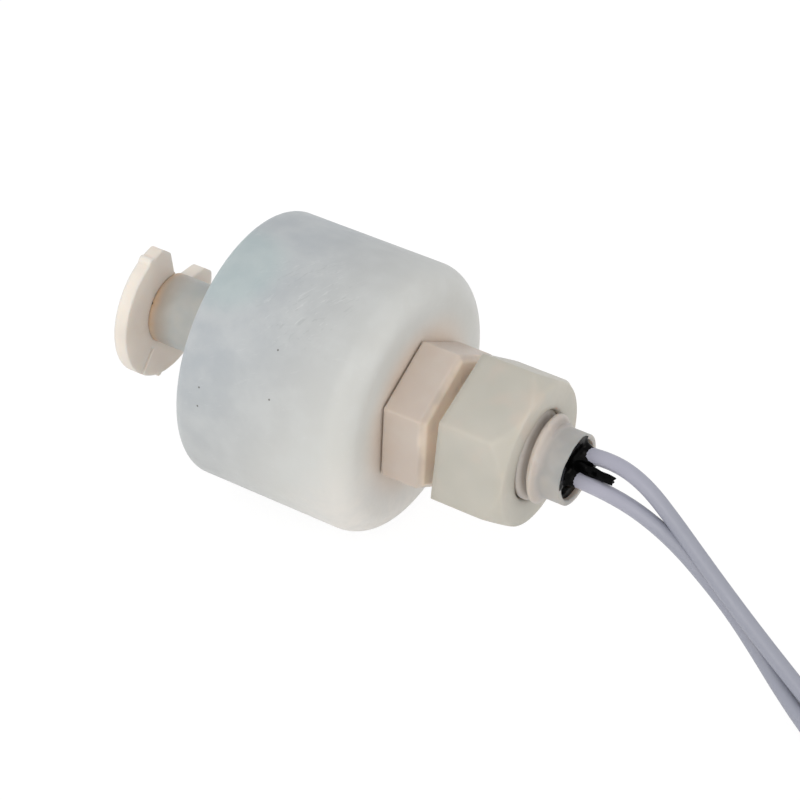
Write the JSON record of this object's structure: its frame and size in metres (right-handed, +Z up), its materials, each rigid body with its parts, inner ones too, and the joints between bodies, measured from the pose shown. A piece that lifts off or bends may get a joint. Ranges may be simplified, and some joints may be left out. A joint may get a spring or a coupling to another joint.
{
  "type": "float level switch",
  "caption": "Small float level switch: a hollow magnet float slides on a moulded stem between a hex flange and a snap clip, with a threaded stud, a hex nut and wire leads.",
  "frame": {"origin": "on the surface that the switch lies on, under the middle of the switch without its leads", "axes": "+X along the stem from the retaining clip to the cable end, +Z up"},
  "size_m": [0.0945, 0.0283, 0.0246],
  "materials": {
    "stem_plastic": "moulded, satin, cream",
    "clip_plastic": "moulded, satin, cream",
    "nut_plastic": "moulded, satin, cream",
    "float_plastic": "moulded, translucent, satin, finely scuffed",
    "magnet": "pressed ferrite, dull",
    "reed_glass": "clear, fire polished",
    "reed_metal": "nickel iron, plated",
    "tinned_copper": "tinned",
    "sleeve": "smooth",
    "solder": "satin",
    "resin": "cured resin, glossy",
    "lead_insulation": "extruded, satin",
    "tie": "smooth"
  },
  "bodies": {
    "switch_body": {"stem_body": "stem_plastic", "retaining_clip": "clip_plastic", "reed_glass": "reed_glass", "reed_blade_near": "reed_metal", "reed_blade_far": "reed_metal", "return_wire": "tinned_copper", "return_sleeve": "sleeve", "solder_near": "solder", "solder_return": "solder", "solder_far": "solder", "potting": "resin", "lead_a_core": "tinned_copper", "lead_b_core": "tinned_copper", "lead_a": "lead_insulation", "lead_b": "lead_insulation", "lead_coil": "lead_insulation", "coil_tie": "tie", "lead_a_tip": "tinned_copper", "lead_b_tip": "tinned_copper"},
    "float": {"float_shell": "float_plastic", "float_end_cap": "float_plastic", "float_magnet": "magnet"},
    "nut": {"hex_nut": "nut_plastic"}
  },
  "joints": [
    {"name": "float_slide", "type": "slide", "parent": "switch_body", "child": "float", "axis": [-1, 0, 0], "range_m": [0, 0.0092]},
    {"name": "nut_travel", "type": "slide", "parent": "switch_body", "child": "nut", "axis": [1, 0, 0], "range_m": [-0.00135, 0.006]}
  ]
}
